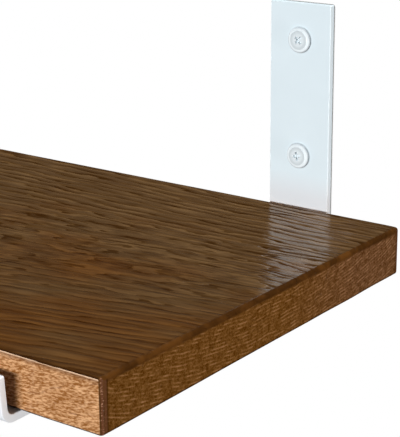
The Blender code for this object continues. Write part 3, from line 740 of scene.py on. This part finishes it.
def drivenScrewTree():
    tree, given, turned = turnedTree("drivenScrews", (
        "Root Radius", "Thread Depth", "Thread Pitch", "Thread Top", "Ridge Share", "Head Height", "Recess Span",
        "Recess Width", "Recess Depth", "Recess Taper"))
    blank = addNode(tree, "GeometryNodeMergeByDistance", {}, {0: turned, "Distance": weldDistance})
    spot = addNode(tree, "GeometryNodeInputPosition")
    given.update(zip("xyz", addNode(tree, "ShaderNodeSeparateXYZ", {}, {0: spot}).outputs))
    addLayers(tree, given, (  # thread: a ridge that climbs a pitch each turn and fades at the shank and the point
        ("angle", "ARCTAN2", "y", "x"),
        ("turn", "DIVIDE", "angle", 2 * math.pi),
        ("climb", "DIVIDE", "z", "Thread Pitch"),
        ("phase", "SUBTRACT", "climb", "turn"),
        ("share", "PINGPONG", "phase", 0.5),
        ("ridge", "LINEAR", "share", 0.0, "Ridge Share", 1.0, 0.0),
        ("below", "SUBTRACT", "Thread Top", "z"),
        ("started", "LINEAR", "below", 0.0, "Thread Pitch"),
        ("outward", "COMBINE", "x", "y"),
        ("radius", "LENGTH", "outward"),
        ("taper", "LINEAR", "radius", 0.0, "Root Radius"),
        ("push", "MULTIPLY", "Thread Depth", "ridge"),
        ("push", "MULTIPLY", "push", "started"),
        ("push", "MULTIPLY", "push", "taper"),
    ))
    direction = addNode(tree, "ShaderNodeVectorMath", {"operation": "NORMALIZE"}, {0: given["outward"]})
    offset = addNode(tree, "ShaderNodeVectorMath", {"operation": "SCALE"}, {0: direction, "Scale": given["push"]})
    threaded = addNode(tree, "GeometryNodeSetPosition", {}, {0: blank, "Offset": offset})
    addLayers(tree, given, (  # driver cross: two wings that narrow towards the bottom
        ("deep", "MULTIPLY", "Recess Depth", 2.0),
        ("sunk", "MULTIPLY", "Recess Depth", -1.0),
        ("narrow", "LINEAR", "z", "sunk", 0.0, "Recess Taper", 1.0),
        ("squeeze", "COMBINE", "narrow", "narrow", 1.0),
        ("raised", "COMBINE", 0.0, 0.0, "Head Height"),
        ("wing", "COMBINE", "Recess Span", "Recess Width", "deep"),
        ("otherWing", "COMBINE", "Recess Width", "Recess Span", "deep"),
    ))
    drawnIn = addNode(tree, "ShaderNodeVectorMath", {"operation": "MULTIPLY"}, {0: spot, 1: given["squeeze"]})
    wings = []
    for name in ("wing", "otherWing"):
        block = addNode(tree, "GeometryNodeMeshCube", {}, {"Size": given[name]})
        shaped = addNode(tree, "GeometryNodeSetPosition", {}, {0: block, "Position": drawnIn})
        wings.append(addNode(tree, "GeometryNodeTransform", {}, {0: shaped, "Translation": given["raised"]}))
    pressed = addNode(tree, "GeometryNodeMeshBoolean", {"operation": "DIFFERENCE", "solver": "EXACT"}, {
        "Mesh 1": threaded, "Mesh 2": wings})
    seatCopies(tree, given, pressed)
    return tree


def makeScrews(name, size, tree, material, nodes):
    formed = {
        **size, "seatRise": size["headHeight"], "rootRadius": size["rootDiameter"] / 2,
        "threadDepth": (size["threadDiameter"] - size["rootDiameter"]) / 2,
        "threadTop": -size["plainShank"] - size["threadOverlap"]}
    return makeTurned(name, formed, screwOutline(size), False, tree, material, nodes)


screwTree = drivenScrewTree()
wallScrews = makeScrews(
    "wallScrews", wallScrewPiece, screwTree, screwPaint,
    [f"wall_screw_{side}_{level}" for side in sides for level in levels])
makeScrews(
    "boardScrews", boardScrewPiece, screwTree, zincPlate,
    [f"board_screw_{side}_{row}" for side in sides for row in rows])


# Wall plugs: a collar, sawtooth ribs, two fins that stop it turning, and jaws split by a slot.
plugPiece = {
    "collarDiameter": 0.0094, "collarThickness": 0.001, "collarChamfer": 0.0002, "bodyDiameter": 0.008,
    "ribDepth": 0.0005, "ribCount": 5, "ribCrest": 0.0006, "ribLead": 0.0001, "noseLength": 0.006,
    "noseWall": 0.0006, "noseFlare": 0.0001, "boreDiameter": 0.0056, "boreChamfer": 0.0003, "length": 0.040,
    "sides": 40, "slotWidth": 0.0012, "slotLength": 0.026, "sawReach": 0.03, "finThickness": 0.0008,
    "finReach": 0.0045, "finLength": 0.009, "finStart": -0.0005, "seatAxis": 1, "seatRise": 0.0, "turnStep": 0.0,
    "smoothUpTo": 30,
}


def plugOutline(size):
    collar, body, bore = size["collarDiameter"] / 2, size["bodyDiameter"] / 2, size["boreDiameter"] / 2
    chamfer, mouth, nose = size["collarChamfer"], size["boreChamfer"], bore + size["noseWall"]
    valley = body - size["ribDepth"]
    start, end = -size["collarThickness"], -size["length"]
    pitch = (size["length"] - size["collarThickness"] - size["noseLength"]) / size["ribCount"]
    points = [(bore + mouth, 0.0), (collar - chamfer, 0.0), (collar, -chamfer), (collar, start)]
    for rib in range(size["ribCount"]):
        top = start - rib * pitch
        points += [(body, top - size["ribLead"]), (body, top - size["ribCrest"]), (valley, top - pitch)]
    points += [(nose + size["noseFlare"], end + mouth), (nose, end), (bore, end), (bore, -mouth)]
    return points


def wallPlugTree():
    tree, given, sleeve = turnedTree("wallPlugs", (
        "Length", "Slot Width", "Slot Length", "Saw Reach", "Fin Thickness", "Fin Reach", "Fin Length",
        "Fin Start", "Body Radius"))
    addLayers(tree, given, (  # a saw for the slot across the far end, and fins that stand out behind the collar
        ("sawHeight", "MULTIPLY", "Slot Length", 2.0),
        ("saw", "COMBINE", "Slot Width", "Saw Reach", "sawHeight"),
        ("farEnd", "MULTIPLY", "Length", -1.0),
        ("sawPlace", "COMBINE", 0.0, 0.0, "farEnd"),
        ("stand", "SUBTRACT", "Fin Reach", "Body Radius"),
        ("finWidth", "MULTIPLY", "stand", 2.0),
        ("fin", "COMBINE", "finWidth", "Fin Thickness", "Fin Length"),
        ("finDown", "MULTIPLY_ADD", "Fin Length", -0.5, "Fin Start"),
        ("finPlace", "COMBINE", "Body Radius", 0.0, "finDown"),
        ("otherSide", "MULTIPLY", "Body Radius", -1.0),
        ("otherFinPlace", "COMBINE", "otherSide", 0.0, "finDown"),
    ))
    placed = []
    for block, place in (("saw", "sawPlace"), ("fin", "finPlace"), ("fin", "otherFinPlace")):
        cube = addNode(tree, "GeometryNodeMeshCube", {}, {"Size": given[block]})
        placed.append(addNode(tree, "GeometryNodeTransform", {}, {0: cube, "Translation": given[place]}))
    saw, *fins = placed
    split = addNode(tree, "GeometryNodeMeshBoolean", {"operation": "DIFFERENCE", "solver": "EXACT"}, {
        "Mesh 1": sleeve, "Mesh 2": saw})
    plug = addNode(tree, "GeometryNodeMeshBoolean", {"operation": "UNION", "solver": "EXACT"}, {
        "Mesh 2": [split, *fins]})
    seatCopies(tree, given, plug)
    return tree


makeTurned(
    "wallPlugs", {**plugPiece, "bodyRadius": plugPiece["bodyDiameter"] / 2}, plugOutline(plugPiece), True,
    wallPlugTree(), greyNylon, [f"wall_plug_{side}_{level}" for side in sides for level in levels])


# Studio: softboxes in front, at the right and overhead, weak ones at the left and behind. A pale floor, a
# white wall behind the shelf, a dark room that only reflections see, and flags over the gaps behind the lips.
studio = {
    "floor": {"drop": -1.3, "radius": 1.8, "sides": 96, "fade": (0.4, 0.95), "glow": (0.93, 1.0), "paint": "7a7a7a"},
    "wall": {"depth": 0.00015, "reach": 1.3, "contact": 0.0010, "samples": 16, "shade": (0.50, 0.72, 0.15, 1.0)},
    "room": {"colour": "3a3a3c", "back": 0.06, "reach": 4.0},
    "flagSpread": 0.005,
    "worldLevel": 0.03,
    "target": (0.22, -0.10, 0.0),
    "lamps": {
        "key": {"towards": (0.0, -0.985, 0.174), "distance": 2.0, "size": (1.15, 0.35), "power": 44.0,
                "colour": (1.0, 1.0, 1.0)},
        "sideFill": {"towards": (0.99, 0.02, -0.10), "distance": 2.0, "size": (0.5, 0.5), "power": 29.0,
                     "colour": (1.0, 0.95, 0.92)},
        "topFill": {"towards": (0.05, 0.45, 0.89), "distance": 2.0, "size": (1.2, 1.2), "power": 50.0,
                    "colour": (1.0, 1.0, 1.0)},
        "leftFill": {"towards": (-0.98, 0.10, 0.05), "distance": 2.2, "size": (1.4, 1.4), "power": 24.0,
                     "colour": (1.0, 1.0, 1.0)},
        "rearFill": {"towards": (-0.25, 0.95, -0.18), "distance": 2.2, "size": (1.4, 1.4), "power": 22.0,
                     "colour": (1.0, 1.0, 1.0)},
    },
}
white = (1, 1, 1, 1)


def whereSeen(tree):  # 1 for what the picture shows straight, mirrored or through something clear
    path = addNode(tree, "ShaderNodeLightPath").outputs
    layers = {kind: path[f"Is {kind} Ray"] for kind in ("Camera", "Glossy", "Transmission")}
    addLayers(tree, layers, (("seen", "MAXIMUM", "Camera", "Glossy"), ("seen", "MAXIMUM", "seen", "Transmission")))
    return layers["seen"]


def showFront(tree, shader):  # clear from behind
    behind = addNode(tree, "ShaderNodeNewGeometry").outputs["Backfacing"]
    clear = addNode(tree, "ShaderNodeBsdfTransparent")
    shown = addNode(tree, "ShaderNodeMixShader", {}, {0: behind, 1: shader, 2: clear})
    addNode(tree, "ShaderNodeOutputMaterial", {}, {0: shown})


def makeFloor(size):  # fades into the white world at its rim
    material, tree = emptyMaterial("paleFloor")
    layers = {"spot": addNode(tree, "ShaderNodeTexCoord").outputs["Object"], "seen": whereSeen(tree)}
    addLayers(tree, layers, (
        ("reach", "LENGTH", "spot"),
        ("rim", "SMOOTHSTEP", "reach", *(share * size["radius"] for share in size["fade"])),
        ("lift", "LINEAR", "rim", 0.0, 1.0, *size["glow"]),
        ("glow", "MULTIPLY", "lift", "seen"),
    ))
    glow = addNode(tree, "ShaderNodeEmission", {}, {"Color": white, "Strength": layers["glow"]})
    paint = addNode(tree, "ShaderNodeBsdfDiffuse", {}, {"Color": toLinear(size["paint"])})
    showFront(tree, addNode(tree, "ShaderNodeAddShader", {}, {0: paint, 1: glow}))
    bm = bmesh.new()
    bmesh.ops.create_circle(bm, cap_ends=True, segments=size["sides"], radius=size["radius"])
    floor = addObject("floor", bm)
    floor.location.z = size["drop"]
    floor.data.materials.append(material)


def makeWall(size):  # white to the camera, with a painted contact shadow where a plate meets it
    material, tree = emptyMaterial("whiteWall")
    nearby = addNode(tree, "ShaderNodeAmbientOcclusion", {"samples": size["samples"]}, {"Distance": size["contact"]})
    layers = {"nearby": nearby.outputs["AO"]}
    addLayers(tree, layers, [("unshaded", "LINEAR", "nearby", *size["shade"])])
    showFront(tree, addNode(tree, "ShaderNodeEmission", {}, {"Color": white, "Strength": layers["unshaded"]}))
    bm = bmesh.new()
    upright = Matrix.Rotation(math.pi / 2, 4, "X")
    bmesh.ops.create_grid(bm, x_segments=1, y_segments=1, size=size["reach"], matrix=upright)
    bmesh.ops.translate(bm, vec=(0.0, size["depth"], 0.0), verts=bm.verts)
    wall = addObject("whiteWall", bm)
    wall.data.materials.append(material)
    return wall


def makeRoom(size):  # the lacquer mirrors it round the white plates
    material, tree = emptyMaterial("darkRoom")
    dark = addNode(tree, "ShaderNodeEmission", {}, {"Color": toLinear(size["colour"])})
    addNode(tree, "ShaderNodeOutputMaterial", {}, {0: dark})
    bm = bmesh.new()
    bmesh.ops.create_cube(bm, size=2 * size["reach"])
    bmesh.ops.translate(bm, vec=(0.0, size["back"] - size["reach"], 0.0), verts=bm.verts)
    room = addObject("darkRoom", bm)
    room.data.materials.append(material)
    return room


def makeFlags(spread):  # they keep the top lamp out of the gaps behind the lips
    boardLow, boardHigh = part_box("shelf_board")
    bm = bmesh.new()
    for side in sides:
        low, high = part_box(f"bracket_{side}")
        left, right = low.x - spread, high.x + spread
        lip = (low.y + bracketPiece["barThickness"], bracketPiece["lipTop"])
        rim = (boardLow.y, boardHigh.z)
        corners = ((left, *rim), (right, *rim), (right, *lip), (left, *lip))
        bm.faces.new([bm.verts.new(corner) for corner in corners])
    return addObject("lipFlags", bm)


def makeStudio(size, shaded):
    makeFloor(size["floor"])
    flags = makeFlags(size["flagSpread"])
    cards = ((makeWall(size["wall"]), "camera"), (makeRoom(size["room"]), "glossy"), (flags, "shadow"))
    for card, seenBy in cards:
        for ray in ("camera", "glossy", "diffuse", "transmission", "shadow"):
            setattr(card, "visible_" + ray, ray == seenBy)
    for name, lamp in size["lamps"].items():
        light = bpy.data.lights.new(name, "AREA")
        light.shape, light.energy, light.color = "RECTANGLE", lamp["power"], lamp["colour"]
        light.size, light.size_y = lamp["size"]
        towards = Vector(lamp["towards"]).normalized()
        softbox = bpy.data.objects.new(name, light)
        softbox.location = Vector(size["target"]) + towards * lamp["distance"]
        softbox.rotation_euler = towards.to_track_quat("Z", "Y").to_euler()
        bpy.context.scene.collection.objects.link(softbox)
        softbox.visible_glossy = name != "key"  # the lacquer would mirror it as a white glare from behind
        blockers = bpy.data.collections.new("shadeIn_" + name)
        softbox.light_linking.blocker_collection = blockers
        blockers.objects.link(flags)
        if name == "topFill":  # it comes from over the wall, so the plates cast no shadow in it
            for piece in shaded:
                blockers.objects.link(piece)
        else:
            blockers.collection_objects[0].light_linking.link_state = "EXCLUDE"
    world = bpy.data.worlds.new("studioWorld")
    world.use_nodes = True
    tree = world.node_tree
    tree.nodes.clear()
    layers = {"seen": whereSeen(tree)}
    addLayers(tree, layers, [("level", "LINEAR", "seen", 0.0, 1.0, size["worldLevel"], 1.0)])
    sky = addNode(tree, "ShaderNodeBackground", {}, {"Color": white, "Strength": layers["level"]})
    addNode(tree, "ShaderNodeOutputWorld", {}, {0: sky})
    bpy.context.scene.world = world


makeStudio(studio, (oakBoard, wallScrews))
print("studio lit")


# Camera solved from the straight edges of the board and plate in the photograph (400 x 437).
cameraView = {
    "place": (0.581482, -0.528420, 0.187282), "turn": (72.7241, 0.3989, 36.2647), "lens": 132.1718, "sensor": 36.0,
    "clip": (0.01, 100.0),
}

camera = bpy.data.objects.new("camera", bpy.data.cameras.new("camera"))
camera.location = cameraView["place"]
camera.rotation_euler = Euler([math.radians(a) for a in cameraView["turn"]])
camera.data.sensor_fit = "HORIZONTAL"
camera.data.lens, camera.data.sensor_width = cameraView["lens"], cameraView["sensor"]
camera.data.clip_start, camera.data.clip_end = cameraView["clip"]
bpy.context.scene.collection.objects.link(camera)
bpy.context.scene.camera = camera
bpy.context.scene.view_settings.view_transform = "Standard"
